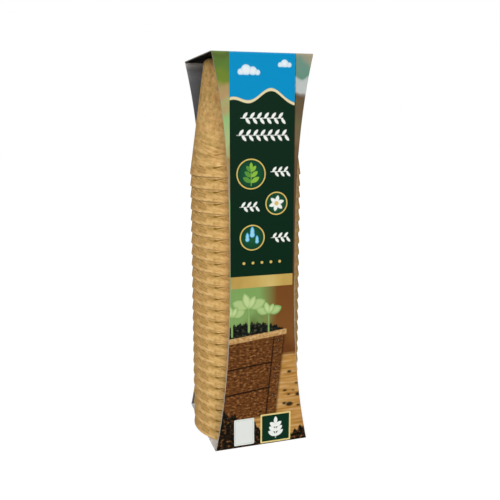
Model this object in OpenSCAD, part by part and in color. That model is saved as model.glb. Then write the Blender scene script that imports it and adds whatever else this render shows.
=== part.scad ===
// Pack of round fibre plant pots. The pots are nested in one upright stack, mouths down,
// and a folded card wrap holds the stack at its front, top, back and bottom.
// +Z is up, -Y is the printed front, and X runs through the wrap's two open sides.

/* [Pot] */
// Outer diameter of the rim, at the mouth
rim_d = 60; // [54:0.5:72]
// Outer diameter of the base, measured to the corner of wall and base before it is rounded
base_d = 43; // [36:0.5:47]
// Height from the rim to the base
pot_h = 59.6; // [50:0.2:72]
// Wall thickness, measured level
wall_t = 0.79; // [0.6:0.01:1.1]
// Thickness of the base
base_t = 1.2; // [0.8:0.1:2]
// Outer radius of the shoulder between wall and base
shoulder_r = 2.4; // [1.8:0.1:3.4]
// Radius of the same corner inside the pot
inside_corner_r = 1.6; // [0.8:0.1:2.4]
// Diameter of the drainage hole in the base
drain_d = 8; // [4:0.5:14]

/* [Nesting] */
// Number of pots in the stack
pot_count = 24; // [2:1:30]
// Level clearance between a pot's inner wall and the pot nested in it
nest_clearance = 0.1; // [0.05:0.01:0.2]

/* [Card wrap] */
// Thickness of the card
card_t = 0.45; // [0.3:0.05:0.7]
// Width of the wrap at its top and bottom creases
wrap_w = 51.7; // [44:0.1:58]
// Width of the front and back panels at their waist
waist_w = 34.9; // [26:0.1:40]
// Height of the waist as a share of the wrap's height
waist_height_share = 0.517; // [0.45:0.001:0.6]
// How late the panels flare from waist to crease: 2 is an even arc, more is flatter at the waist
flare_power = 2.7; // [2:0.1:3.5]
// Outer radius of the four creases
crease_r = 1; // [0.8:0.1:1.6]
// Height of the glue flap inside the back panel
flap_h = 14; // [8:0.5:24]
// Gap between the rims and the card in front of and behind them
rim_clearance = 0.3; // [0.2:0.05:0.6]
// Gap between the lowest rim and the bottom panel
seat_clearance = 0.3; // [0.05:0.05:0.5]
// Gap between the highest base and the top panel
top_clearance = 0.4; // [0.1:0.05:0.6]

/* [Hidden] */
function pot_name(place) = str("pot_", place < 10 ? "0" : "", place);

// Steps of an arc in a pot's profile, and facets for a round body
arc_steps = 5;
round_facets = 96;
// Steps along each side edge of a panel
edge_steps = 30;
// Overrun of a cutting body past what it cuts
overrun = 2;

rim_r = rim_d / 2;
// How far the wall draws in for each unit of height
taper = (rim_d - base_d) / 2 / pot_h;
// The nested pot stops where the walls are a clearance apart
nest_pitch = (wall_t + nest_clearance) / taper;

// The flap lies behind the rims, so the stack stands half a card nearer the front
stack_y = -card_t / 2;
stack_z = card_t + seat_clearance;
stack_h = pot_h + (pot_count - 1) * nest_pitch;
wrap_h = stack_z + stack_h + top_clearance + card_t;
wrap_d = rim_d + 2 * rim_clearance + 3 * card_t;

// Points of a rounded corner between a wall that starts at radius r0 and a level face at height top
function corner_points(r0, top, r) =
    let (centre_z = top - r,
         centre_r = r0 - taper * centre_z - r * sqrt(1 + taper * taper),
         start = atan(taper))
    [for (i = [0:arc_steps])
        let (angle = start + (90 - start) * i / arc_steps)
        [centre_r + r * cos(angle), centre_z + r * sin(angle)]];

function reversed(points) = [for (i = [len(points) - 1:-1:0]) points[i]];

// Half of a pot's section: radius, and height above its rim
pot_profile = concat(
    [[rim_r, 0]],
    corner_points(rim_r, pot_h, shoulder_r),
    [[drain_d / 2, pot_h], [drain_d / 2, pot_h - base_t]],
    reversed(corner_points(rim_r - wall_t, pot_h - base_t, inside_corner_r)),
    [[rim_r - wall_t, 0]]
);

// Half width of the front and back panels at a height
function half_width(z) =
    let (waist_z = waist_height_share * wrap_h,
         reach = z > waist_z ? wrap_h - waist_z : waist_z)
    (waist_w + (wrap_w - waist_w) * pow(abs(z - waist_z) / reach, flare_power)) / 2;

// Outline of those panels: across, and up
panel_outline = concat(
    [for (i = [0:edge_steps]) let (z = wrap_h * i / edge_steps) [half_width(z), z]],
    [for (i = [edge_steps:-1:0]) let (z = wrap_h * i / edge_steps) [-half_width(z), z]]
);

// One fibre pot, mouth down, in its place in the stack: 1 is the lowest
module pot(place) {
    color("#c89f5e")
        translate([0, stack_y, stack_z + (place - 1) * nest_pitch])
            rotate_extrude($fn = round_facets)
                polygon(pot_profile);
}

// A rectangle with round corners, its lower edge at the height given
module rounded_rectangle(width, height, lift, r) {
    translate([-width / 2, lift + r])
        square([width, height - 2 * r]);
    translate([-width / 2 + r, lift])
        square([width - 2 * r, height]);
    for (side = [-1, 1], level = [lift + r, lift + height - r])
        translate([side * (width / 2 - r), level])
            circle(r = r, $fn = round_facets);
}

// Section of the wrap across its creases: the closed loop of card, and the flap glued inside its back
module wrap_section() {
    difference() {
        rounded_rectangle(wrap_d, wrap_h, 0, crease_r);
        rounded_rectangle(wrap_d - 2 * card_t, wrap_h - 2 * card_t, card_t, crease_r - card_t);
    }
    translate([wrap_d / 2 - 2 * card_t, card_t])
        square([card_t, flap_h]);
}

// The card wrap, die-cut with a waist in its front and back panels
module card_wrap() {
    color("#14402b")
        intersection() {
            rotate([90, 0, 90])
                linear_extrude(height = wrap_w + 2 * overrun, center = true)
                    wrap_section();
            rotate([90, 0, 0])
                linear_extrude(height = wrap_d + 2 * overrun, center = true)
                    polygon(panel_outline);
        }
}

for (place = [1:pot_count])
    pot(place);
card_wrap();
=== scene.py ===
"""Looks of a pack of nested fibre plant pots, held in a folded and printed card wrap.

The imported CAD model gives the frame. Every piece here is a surface worked out with numpy in
the same metres: each pot is one section swept round its axis, and the wrap is one strip of
board carried along its fold line. +Z is up, -Y is the printed front, and X runs through the
wrap's two open sides.
"""

import logging
import math
from dataclasses import dataclass, field
from enum import Enum

import bpy
import numpy as np
from mathutils import Matrix, Vector


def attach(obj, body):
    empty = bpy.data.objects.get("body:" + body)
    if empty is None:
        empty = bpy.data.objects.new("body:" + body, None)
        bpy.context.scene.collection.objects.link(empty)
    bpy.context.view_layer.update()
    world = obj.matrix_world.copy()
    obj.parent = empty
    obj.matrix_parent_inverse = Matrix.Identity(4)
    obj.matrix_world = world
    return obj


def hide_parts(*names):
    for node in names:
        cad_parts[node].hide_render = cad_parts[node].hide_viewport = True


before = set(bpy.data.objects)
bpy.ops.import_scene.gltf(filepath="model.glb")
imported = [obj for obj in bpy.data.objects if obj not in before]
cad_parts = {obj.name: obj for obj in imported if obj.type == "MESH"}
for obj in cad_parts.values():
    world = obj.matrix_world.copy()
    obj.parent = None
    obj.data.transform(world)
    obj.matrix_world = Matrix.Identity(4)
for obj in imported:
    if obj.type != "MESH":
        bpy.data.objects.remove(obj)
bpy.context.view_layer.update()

log = logging.getLogger("fibre_pots")

MM = 0.001
SOCKET = bpy.types.NodeSocket


# Colour and nodes


def linear(hex_colour: str, alpha: float = 1.0) -> tuple[float, float, float, float]:
    """Turn an sRGB hex colour into the linear one that a socket takes.

    Args:
        hex_colour: six hex digits after a hash sign.
        alpha: cover of the colour, from 0 to 1.

    Returns:
        Red, green, blue and alpha.
    """
    srgb = np.array([int(hex_colour[i : i + 2], 16) for i in (1, 3, 5)]) / 255
    rgb = np.where(srgb <= 0.04045, srgb / 12.92, ((srgb + 0.055) / 1.055) ** 2.4)
    return (float(rgb[0]), float(rgb[1]), float(rgb[2]), alpha)


def add_node(
    tree: bpy.types.NodeTree,
    kind: str,
    inputs: dict | None = None,
    stops: list[tuple[float, tuple[float, float, float, float]]] | None = None,
    **settings: object,
) -> bpy.types.Node:
    """Add one shader node with its settings, its values and its links.

    Args:
        tree: the material's or world's node tree.
        kind: the node's type without the word ShaderNode.
        inputs: value or output socket for each input, by name or number.
        stops: places from 0 to 1 and linear colours, for a colour ramp.
        settings: properties of the node.

    Returns:
        The new node.
    """
    node = tree.nodes.new("ShaderNode" + kind)
    for name, value in settings.items():
        setattr(node, name, value)
    for key, value in (inputs or {}).items():
        if isinstance(value, SOCKET):
            tree.links.new(value, node.inputs[key])
        else:
            node.inputs[key].default_value = value
    if stops:
        elements = node.color_ramp.elements
        while len(elements) < len(stops):
            elements.new(0.5)
        for element, (place, colour) in zip(elements, stops):
            element.position = place
        # Moving a stop can reorder them, so the places are set once more with the colours
        for element, (place, colour) in zip(elements, stops):
            element.position, element.color = place, colour
    return node


def new_material(name: str) -> tuple[bpy.types.Material, bpy.types.NodeTree, bpy.types.Node]:
    """Make an empty node material.

    Args:
        name: the material's name, after the real one.

    Returns:
        The material, its node tree and its output node.
    """
    material = bpy.data.materials.new(name)
    material.use_nodes = True
    tree = material.node_tree
    tree.nodes.clear()
    return material, tree, add_node(tree, "OutputMaterial")


# Meshes


@dataclass
class GridSurface:
    """A closed surface whose points stand in a grid of rows and columns.

    The columns always join up into a ring. The rows join up too, or each end gets a cap.
    """

    points: np.ndarray
    closed_rows: bool
    attributes: dict[str, np.ndarray] = field(default_factory=dict)

    def faces(self) -> tuple[list[list[int]], np.ndarray]:
        """Work out the faces from the grid.

        Returns:
            The corner numbers of each face, and the row and column of each four-sided one.
        """
        rows, columns = self.points.shape[:2]
        last = rows if self.closed_rows else rows - 1
        row, column = np.meshgrid(np.arange(last), np.arange(columns), indexing="ij")
        below, beside = (row + 1) % rows, (column + 1) % columns
        corners = np.stack(
            [
                row * columns + column,
                row * columns + beside,
                below * columns + beside,
                below * columns + column,
            ],
            axis=-1,
        ).reshape(-1, 4)
        places = np.stack([row, column], axis=-1).reshape(-1, 2)
        faces = corners.tolist()
        if not self.closed_rows:
            first = np.arange(columns)[::-1]
            faces += [first.tolist(), (np.arange(columns) + (rows - 1) * columns).tolist()]
        return faces, places

    def volume(self, faces: list[list[int]]) -> float:
        """Give the signed volume, which is above zero where the faces point outwards.

        Args:
            faces: corner numbers, of which the four-sided ones are summed.

        Returns:
            The volume in cubic metres.
        """
        corners = np.array([f for f in faces if len(f) == 4])
        a, b, c, d = (self.points.reshape(-1, 3)[corners[:, i]] for i in range(4))
        return float(np.einsum("ij,ij->", a, np.cross(b, c) + np.cross(c, d)) / 6)


def make_piece(
    name: str,
    surface: GridSurface,
    materials: list[bpy.types.Material],
    material_of: np.ndarray | None = None,
    sharp_angle: float = math.radians(40),
) -> bpy.types.Object:
    """Put a grid surface into a mesh object that sits at the origin.

    Args:
        name: the object's name.
        surface: points, and what they carry.
        materials: the finishes that the piece wears.
        material_of: number of the finish at each row and column, or None for one finish.
        sharp_angle: an edge bent by more than this is a sharp one.

    Returns:
        The new object.
    """
    faces, places = surface.faces()
    if surface.volume(faces) < 0:
        faces = [f[::-1] for f in faces]
    mesh = bpy.data.meshes.new(name)
    mesh.from_pydata(surface.points.reshape(-1, 3).tolist(), [], faces)
    mesh.update()
    for key, values in surface.attributes.items():
        vector = values.ndim == 3
        kind = "FLOAT_VECTOR" if vector else "FLOAT"
        attribute = mesh.attributes.new(key, kind, "POINT")
        attribute.data.foreach_set(
            "vector" if vector else "value", values.astype(np.float32).ravel()
        )
    for material in materials:
        mesh.materials.append(material)
    if material_of is not None:
        numbers = np.zeros(len(faces), np.int32)
        numbers[: len(places)] = material_of[places[:, 0], places[:, 1]]
        numbers[len(places) :] = len(materials) - 1
        mesh.polygons.foreach_set("material_index", numbers)
    mesh.polygons.foreach_set("use_smooth", np.ones(len(faces), bool))
    mesh.set_sharp_from_angle(angle=sharp_angle)
    piece = bpy.data.objects.new(name, mesh)
    bpy.context.scene.collection.objects.link(piece)
    return piece


# Finishes


@dataclass(frozen=True)
class PaintedRimBlot:
    """A soft oval on a pot's skin: painted shadow under the next pot's rim, or painted highlight on
    and above that rim where its strength is below zero. It is placed in mm from the middle of the
    painted marks and above the next rim, with half its length and thickness, its turn in degrees,
    and how much it darkens, or lightens below zero.
    """

    along: float
    above: float
    reach: float
    thickness: float
    turn: float
    strength: float

    def over(self, tree: bpy.types.NodeTree, skin: SOCKET, below: SOCKET | float) -> SOCKET:
        """Add this blot to those below it.

        Args:
            tree: the material's node tree.
            skin: place from the middle of the painted marks, in mm.
            below: sum of the blots so far, or 0 for the first.

        Returns:
            The sum with this blot.
        """
        inside = add_node(
            tree,
            "Mapping",
            {
                "Vector": skin,
                "Location": (self.along, self.above, 0),
                "Rotation": (0, 0, math.radians(self.turn)),
                "Scale": (self.reach, self.thickness, 1),
            },
            vector_type="TEXTURE",
        ).outputs[0]
        away = add_node(tree, "VectorMath", {0: inside}, operation="LENGTH").outputs["Value"]
        cover = add_node(tree, "MapRange", {0: away, 1: 1.25, 2: 0.5, 3: 0, 4: self.strength})
        return add_node(tree, "Math", {0: cover.outputs[0], 1: below}, operation="ADD").outputs[0]


@dataclass(frozen=True)
class MouldedFibre:
    """Wood fibre pulp, pressed wet in a hot mould and dried: matt and golden tan, with short
    darker fibres that lie at a slant round the wall, bark specks and a soft mottle."""

    # Height from one rim to the next in the stack
    pitch: float
    darkest: str = "#6E501C"
    streak: str = "#8B672D"
    shade: str = "#AF8A4E"
    body: str = "#CFA667"
    light: str = "#E9C181"
    speck: str = "#6E4E24"
    blush: str = "#C98A55"
    olive: str = "#A08C4C"
    # The fibres are about 0.1 mm across. They are drawn 0.75 mm across, so that they show.
    fibre_width: float = 0.75 * MM
    fibre_length: float = 2.8 * MM
    mottle_size: float = 1.1 * MM
    speck_size: float = 0.45 * MM
    tint_size: float = 2.0 * MM
    speck_cover: float = 0.5
    tint_cover: float = 0.26
    slant: float = math.radians(19)
    radius: float = 29 * MM
    # Painted shadows under the next pot's rim and painted highlights on and above it come five times
    # round the pot. In pitches, they reach this far above a rim line, and they fade out between two
    # heights up the wall.
    painted_repeats: int = 5
    first_painted_mark: float = math.radians(226)
    painted_above: float = 0.26
    painted_fade: tuple[float, float] = (1.2, 2.6)
    # Painted shadows under the next pot's rim edge, and painted highlights where the strength is
    # below zero
    painted_rim_blots: tuple[PaintedRimBlot, ...] = (
        PaintedRimBlot(-2.3, -1.4, 1.3, 0.46, 6, 0.36),
        PaintedRimBlot(-0.1, -1.02, 1.6, 0.38, 13, 0.44),
        PaintedRimBlot(1.9, -0.72, 1.3, 0.3, 0, 0.30),
        PaintedRimBlot(-6.0, -1.3, 2.2, 0.5, -6, 0.14),
        PaintedRimBlot(-11.6, -1.2, 2.0, 0.5, -8, 0.16),
        PaintedRimBlot(0.7, -0.1, 1.7, 0.45, 8, -0.18),
        PaintedRimBlot(0.0, 0.7, 1.9, 0.5, 0, -0.10),
        PaintedRimBlot(-0.1, -1.6, 0.9, 0.34, 0, -0.10),
        PaintedRimBlot(-7.0, 1.2, 4.6, 1.3, 0, -0.13),
        PaintedRimBlot(-3.0, 1.3, 0.9, 1.0, 0, 0.10),
        PaintedRimBlot(-13.4, 1.6, 2.6, 0.8, 0, -0.08),
        PaintedRimBlot(0.9, -1.85, 1.1, 0.22, -4, 0.10),
        PaintedRimBlot(2.8, -3.15, 1.5, 0.32, -41, 0.12),
        PaintedRimBlot(-13.4, -1.1, 1.8, 0.5, -17, 0.16),
        PaintedRimBlot(-10.0, -2.3, 2.2, 0.4, -12, 0.12),
        PaintedRimBlot(-5.4, -1.9, 1.7, 0.28, -20, 0.11),
        PaintedRimBlot(-6.4, -0.5, 1.3, 0.22, -10, 0.10),
        PaintedRimBlot(6.2, -1.0, 1.7, 0.3, -8, 0.12),
    )

    def skin(self, tree: bpy.types.NodeTree, mould: SOCKET) -> tuple[SOCKET, SOCKET]:
        """Lay the outer wall out flat round the nearest group of painted rim shadows and highlights.
        Across is the angle from that group's middle times the radius, and up is the height above the
        nearest rim line.

        Args:
            tree: the material's node tree.
            mould: the point in the pot's own mould.

        Returns:
            The place in mm, and how strongly the painted shadows and highlights show at this height.
        """
        parts = add_node(tree, "SeparateXYZ", {0: mould}).outputs
        angle = add_node(tree, "Math", {0: parts[1], 1: parts[0]}, operation="ARCTAN2").outputs[0]
        turned = add_node(tree, "Math", {0: angle, 1: -self.first_painted_mark}, operation="ADD").outputs[0]
        half = math.pi / self.painted_repeats
        near = add_node(tree, "Math", {0: turned, 1: half, 2: -half}, operation="WRAP").outputs[0]
        across = add_node(
            tree, "Math", {0: near, 1: self.radius / MM}, operation="MULTIPLY"
        ).outputs[0]
        level = add_node(tree, "Math", {0: parts[2], 1: 1 / MM}, operation="MULTIPLY").outputs[0]
        step = self.pitch / MM
        highest = self.painted_above * step
        above = add_node(
            tree, "Math", {0: level, 1: highest, 2: highest - step}, operation="WRAP"
        ).outputs[0]
        place = add_node(tree, "CombineXYZ", {0: across, 1: above}).outputs[0]
        start, end = (share * step for share in self.painted_fade)
        shown = add_node(tree, "MapRange", {0: level, 1: start, 2: end, 3: 1, 4: 0})
        return place, shown.outputs[0]

    def fibres(self, tree: bpy.types.NodeTree, mould: SOCKET, own: SOCKET) -> SOCKET:
        """Draw the fibres, as a noise that is squashed level and then sheared.

        Turning the point with its height makes an even noise lie at a slant: a blob of
        width w and height h becomes a streak h / sin(slant) long and w sin(slant) thick.

        Args:
            tree: the material's node tree.
            mould: the point in the pot's own mould.
            own: a number of the pot's own, which makes each pot a little different.

        Returns:
            The noise, about 0.5.
        """
        level = add_node(tree, "SeparateXYZ", {0: mould}).outputs["Z"]
        pace = 1 / (self.radius * math.tan(self.slant))
        twist = add_node(tree, "Math", {0: level, 1: pace}, operation="MULTIPLY").outputs[0]
        turned = add_node(
            tree, "VectorRotate", {"Vector": mould, "Angle": twist}, rotation_type="Z_AXIS"
        ).outputs[0]
        across = math.sin(self.slant) / (2 * self.fibre_width)
        up = 1 / (2 * self.fibre_length * math.sin(self.slant))
        stretched = add_node(
            tree, "Mapping", {"Vector": turned, "Scale": (across, across, up)}
        ).outputs[0]
        return add_node(
            tree,
            "TexNoise",
            {"Vector": stretched, "W": own, "Scale": 1.0, "Detail": 2.0, "Roughness": 0.55},
            noise_dimensions="4D",
        ).outputs[0]

    def noises(self, tree: bpy.types.NodeTree, mould: SOCKET, own: SOCKET) -> list[SOCKET]:
        """Draw the mottle, the bark specks and the tint, each an even noise of its own size.

        Args:
            tree: the material's node tree.
            mould: the point in the pot's own mould.
            own: a number of the pot's own, which makes each pot a little different.

        Returns:
            The three noises, each about 0.5.
        """
        noises = []
        sizes = ((self.mottle_size, 3.0), (self.speck_size, 0.0), (self.tint_size, 2.0))
        for size, detail in sizes:
            # The noise scales its fourth coordinate too, so it is divided by the scale first
            shift = add_node(tree, "Math", {0: own, 1: 2 * size}, operation="MULTIPLY").outputs[0]
            inputs = {"Vector": mould, "W": shift, "Scale": 0.5 / size, "Detail": detail}
            noise = add_node(tree, "TexNoise", inputs, noise_dimensions="4D")
            noises.append(noise.outputs[0])
        return noises

    def value(
        self, tree: bpy.types.NodeTree, mould: SOCKET, fibres: SOCKET, mottle: SOCKET
    ) -> SOCKET:
        """Work out where the skin lies on the scale of colours.

        The fibres show most where the wall was pressed least, and the mottle where it was pressed
        most. The painted shade and light of the shade attribute, and the painted shadows and
        highlights round the next rim, are taken off.

        Args:
            tree: the material's node tree.
            mould: the point in the pot's own mould.
            fibres: the fibres' noise.
            mottle: the mottle's noise.

        Returns:
            A value from 0 at the darkest colour to 1 past the lightest.
        """
        grain, cloud, shade = (
            add_node(tree, "Attribute", attribute_name=name).outputs["Fac"]
            for name in ("grain", "cloud", "shade")
        )
        centred = add_node(tree, "Math", {0: fibres, 1: -0.5}, operation="ADD").outputs[0]
        gained = add_node(tree, "Math", {0: centred, 1: grain}, operation="MULTIPLY").outputs[0]
        even = add_node(tree, "Math", {0: mottle, 1: -0.5}, operation="ADD").outputs[0]
        soft = add_node(
            tree, "Math", {0: even, 1: cloud, 2: 0.6}, operation="MULTIPLY_ADD"
        ).outputs[0]
        mixed = add_node(tree, "Math", {0: gained, 1: soft}, operation="ADD").outputs[0]
        place, shown = self.skin(tree, mould)
        painted_rim_sum: SOCKET | float = 0.0
        for blot in self.painted_rim_blots:
            painted_rim_sum = blot.over(tree, place, painted_rim_sum)
        # This sum holds painted shade and light only: the painted rim shadows and highlights, and
        # the shade attribute
        pressed = add_node(
            tree, "Math", {0: painted_rim_sum, 1: shown, 2: shade}, operation="MULTIPLY_ADD"
        ).outputs[0]
        return add_node(tree, "Math", {0: mixed, 1: pressed}, operation="SUBTRACT").outputs[0]

    def colour(
        self, tree: bpy.types.NodeTree, value: SOCKET, specks: SOCKET, tint: SOCKET
    ) -> SOCKET:
        """Look the value up on the scale of colours, and lay tints and specks over it.

        Args:
            tree: the material's node tree.
            value: place on the scale.
            specks: the specks' noise, of which only the peaks show.
            tint: the tint's noise, reddish where it is high and olive where it is low.

        Returns:
            The skin's colour.
        """
        colour = add_node(
            tree,
            "ValToRGB",
            {0: value},
            stops=[
                (0.04, linear(self.darkest)),
                (0.22, linear(self.streak)),
                (0.42, linear(self.shade)),
                (0.60, linear(self.body)),
                (0.80, linear(self.light)),
            ],
        ).outputs[0]
        layers = (
            (self.blush, tint, 0.5, 0.7, self.tint_cover),
            (self.olive, tint, 0.5, 0.3, self.tint_cover),
            (self.speck, specks, 0.72, 0.8, self.speck_cover),
        )
        for tone, noise, start, end, most in layers:
            cover = add_node(tree, "MapRange", {0: noise, 1: start, 2: end, 3: 0.0, 4: most})
            colour = add_node(
                tree, "Mix", {0: cover.outputs[0], 6: colour, 7: linear(tone)}, data_type="RGBA"
            ).outputs[2]
        return colour

    def build(self) -> bpy.types.Material:
        """Make the material.

        Returns:
            The pots' material, which reads the attributes mould, grain, cloud, shade and own.
        """
        material, tree, output = new_material("moulded_wood_fibre")
        mould = add_node(tree, "Attribute", attribute_name="mould").outputs["Vector"]
        own = add_node(tree, "Attribute", attribute_name="own").outputs["Fac"]
        mottle, specks, tint = self.noises(tree, mould, own)
        value = self.value(tree, mould, self.fibres(tree, mould, own), mottle)
        relief = add_node(
            tree, "Bump", {"Height": value, "Strength": 0.35, "Distance": 0.22 * MM}
        ).outputs[0]
        shader = add_node(
            tree,
            "BsdfPrincipled",
            {
                "Base Color": self.colour(tree, value, specks, tint),
                "Normal": relief,
                "Roughness": 0.95,
                "Specular IOR Level": 0.08,
            },
        )
        tree.links.new(shader.outputs[0], output.inputs[0])
        return material


@dataclass(frozen=True)
class Grain:
    """The mottling of one printed area: a noise stretched across or up, and its colours."""

    width: float
    height: float
    colours: tuple[tuple[float, str], ...]
    detail: float = 3.0


@dataclass(frozen=True)
class Ink:
    """One printed shape. Its field is the distance in mm from the shape's outline, below
    zero inside, and its steps give the colour and cover at distances from there."""

    name: str
    steps: tuple[tuple[float, str, float], ...]
    grain: Grain | None = None

    def over(self, tree: bpy.types.NodeTree, below: SOCKET, sheet: SOCKET) -> SOCKET:
        """Lay this ink over what is printed below it.

        Args:
            tree: the material's node tree.
            below: the colour below.
            sheet: the place on the flat sheet, in metres.

        Returns:
            The colour with this ink on it.
        """
        low, high = self.steps[0][0] - 0.01, self.steps[-1][0] + 0.01
        distance = add_node(tree, "Attribute", attribute_name=self.name).outputs["Fac"]
        place = add_node(tree, "MapRange", {0: distance, 1: low, 2: high}).outputs[0]
        ramp = add_node(
            tree,
            "ValToRGB",
            {0: place},
            stops=[
                ((step - low) / (high - low), linear(colour, cover))
                for step, colour, cover in self.steps
            ],
        )
        colour = ramp.outputs[0]
        if self.grain:
            stretched = add_node(
                tree,
                "Mapping",
                {
                    "Vector": sheet,
                    "Scale": (0.5 / self.grain.width, 0.5 / self.grain.height, 1.0),
                },
            ).outputs[0]
            noise = add_node(
                tree,
                "TexNoise",
                {"Vector": stretched, "Scale": 1.0, "Detail": self.grain.detail},
            ).outputs[0]
            colour = add_node(
                tree,
                "ValToRGB",
                {0: noise},
                stops=[(at, linear(tone)) for at, tone in self.grain.colours],
            ).outputs[0]
        return add_node(
            tree, "Mix", {0: ramp.outputs[1], 6: below, 7: colour}, data_type="RGBA"
        ).outputs[2]


@dataclass(frozen=True)
class PrintedBoard:
    """Coated folding board, litho printed and sealed with a water varnish: even inks with
    crisp outlines and a low, soft gloss."""

    inks: tuple[Ink, ...]
    # Blurred garden behind the design, from the wrap's foot upwards: height in mm, colour
    left: tuple[tuple[float, str], ...] = (
        (0, "#14150F"),
        (60, "#5A6B32"),
        (70, "#86A862"),
        (88, "#7FA65C"),
        (100, "#9A8A70"),
        (118, "#A79A80"),
        (128, "#8CC27E"),
        (138, "#A8997C"),
        (155, "#A8854F"),
        (160, "#AFC084"),
        (176, "#94BE7A"),
        (181, "#B9986A"),
        (188, "#AC9660"),
        (193, "#75882F"),
        (197, "#5E7E35"),
        (203, "#566B30"),
        (225, "#86A24C"),
        (250, "#4F6B28"),
    )
    right: tuple[tuple[float, str], ...] = (
        (0, "#14150F"),
        (50, "#6A3E1C"),
        (60, "#7E5026"),
        (88, "#764820"),
        (120, "#5C4630"),
        (155, "#6A5236"),
        (163, "#7A6448"),
        (173, "#6B6342"),
        (183, "#64503B"),
        (186, "#8C8478"),
        (188, "#C6CBC8"),
        (191, "#B4C0BA"),
        (193, "#69917F"),
        (200, "#6F9484"),
        (204, "#AA9C82"),
        (250, "#7C9A6A"),
    )
    top_of_blur: float = 270.0
    # The left side's colours pass into the right side's between these places across
    change: tuple[float, float] = (-2 * MM, 8 * MM)
    blur: float = 4.5 * MM
    wander: float = 9 * MM
    tooth_size: float = 0.6 * MM

    def build(self) -> bpy.types.Material:
        """Make the material.

        Returns:
            The material of the wrap's outer face, which reads one attribute for each ink.
        """
        material, tree, output = new_material("printed_coated_board")
        sheet = add_node(tree, "Attribute", attribute_name="sheet").outputs["Vector"]
        leaning = add_node(tree, "Attribute", attribute_name="leaning").outputs["Fac"]
        across = add_node(tree, "SeparateXYZ", {0: sheet}).outputs["X"]
        drift = add_node(
            tree, "TexNoise", {"Vector": sheet, "Scale": 0.5 / self.blur, "Detail": 1.0}
        ).outputs[0]
        # The blur's bands lean with x and wander with the noise
        height = add_node(
            tree, "Math", {0: drift, 1: 2 * self.wander, 2: leaning}, operation="MULTIPLY_ADD"
        ).outputs[0]
        place = add_node(
            tree,
            "MapRange",
            {0: height, 1: self.wander, 2: self.top_of_blur * MM + self.wander},
        ).outputs[0]
        sides = [
            add_node(
                tree,
                "ValToRGB",
                {0: place},
                stops=[(at / self.top_of_blur, linear(tone)) for at, tone in side],
            ).outputs[0]
            for side in (self.left, self.right)
        ]
        start, end = self.change
        share = add_node(tree, "MapRange", {0: across, 1: start, 2: end}).outputs[0]
        colour = add_node(
            tree, "Mix", {0: share, 6: sides[0], 7: sides[1]}, data_type="RGBA"
        ).outputs[2]
        for ink in self.inks:
            colour = ink.over(tree, colour, sheet)
        tooth = add_node(
            tree, "TexNoise", {"Vector": sheet, "Scale": 0.5 / self.tooth_size, "Detail": 2.0}
        ).outputs[0]
        gloss = add_node(
            tree, "MapRange", {0: tooth, 1: 0.3, 2: 0.7, 3: 0.45, 4: 0.6}
        ).outputs[0]
        relief = add_node(
            tree, "Bump", {"Height": tooth, "Strength": 0.12, "Distance": 0.05 * MM}
        ).outputs[0]
        shader = add_node(
            tree,
            "BsdfPrincipled",
            {
                "Base Color": colour,
                "Roughness": gloss,
                "Normal": relief,
                "Specular IOR Level": 0.06,
            },
        )
        tree.links.new(shader.outputs[0], output.inputs[0])
        return material


@dataclass(frozen=True)
class BareBoard:
    """Uncoated face or cut edge of folding board: matt, with flecks of short fibre. The tone
    attribute says how pale the face is, from 0 to 1, and on the wrap's inner faces it carries
    painted shade and light."""

    name: str
    dark: str
    middle: str
    pale: str
    fleck_size: float = 0.7 * MM
    cloud_size: float = 8 * MM

    def build(self) -> bpy.types.Material:
        """Make the material.

        Returns:
            The material, which reads the attributes sheet and tone.
        """
        material, tree, output = new_material(self.name)
        sheet = add_node(tree, "Attribute", attribute_name="sheet").outputs["Vector"]
        tone = add_node(tree, "Attribute", attribute_name="tone").outputs["Fac"]
        flecks = add_node(
            tree,
            "TexNoise",
            {"Vector": sheet, "Scale": 0.5 / self.fleck_size, "Detail": 3.0, "Roughness": 0.7},
        ).outputs[0]
        cloud = add_node(
            tree, "TexNoise", {"Vector": sheet, "Scale": 0.5 / self.cloud_size, "Detail": 1.0}
        ).outputs[0]
        speckled = add_node(
            tree, "Math", {0: flecks, 1: 0.10, 2: -0.05}, operation="MULTIPLY_ADD"
        ).outputs[0]
        clouded = add_node(
            tree, "Math", {0: cloud, 1: 0.10, 2: speckled}, operation="MULTIPLY_ADD"
        ).outputs[0]
        place = add_node(tree, "Math", {0: clouded, 1: tone}, operation="ADD").outputs[0]
        colour = add_node(
            tree,
            "ValToRGB",
            {0: place},
            stops=[
                (0.05, linear(self.dark)),
                (0.5, linear(self.middle)),
                (1.0, linear(self.pale)),
            ],
        ).outputs[0]
        relief = add_node(
            tree, "Bump", {"Height": flecks, "Strength": 0.3, "Distance": 0.08 * MM}
        ).outputs[0]
        shader = add_node(
            tree,
            "BsdfPrincipled",
            {
                "Base Color": colour,
                "Roughness": 0.9,
                "Normal": relief,
                "Specular IOR Level": 0.25,
            },
        )
        tree.links.new(shader.outputs[0], output.inputs[0])
        return material


# The pots


def smooth(value: np.ndarray, start: float = 0.0, end: float = 1.0) -> np.ndarray:
    """Ease from 0 to 1 with no corner at either end: three squares less two cubes.

    Args:
        value: values, of which those past the start or the end are held there.
        start: value that gives 0.
        end: value that gives 1.

    Returns:
        The eased values.
    """
    share = np.clip((value - start) / (end - start), 0, 1)
    return share * share * (3 - 2 * share)


def between(
    low: float | np.ndarray, high: float | np.ndarray, share: float | np.ndarray
) -> np.ndarray:
    """Give the value that lies a share of the way from low to high."""
    return low + (high - low) * share


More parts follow.
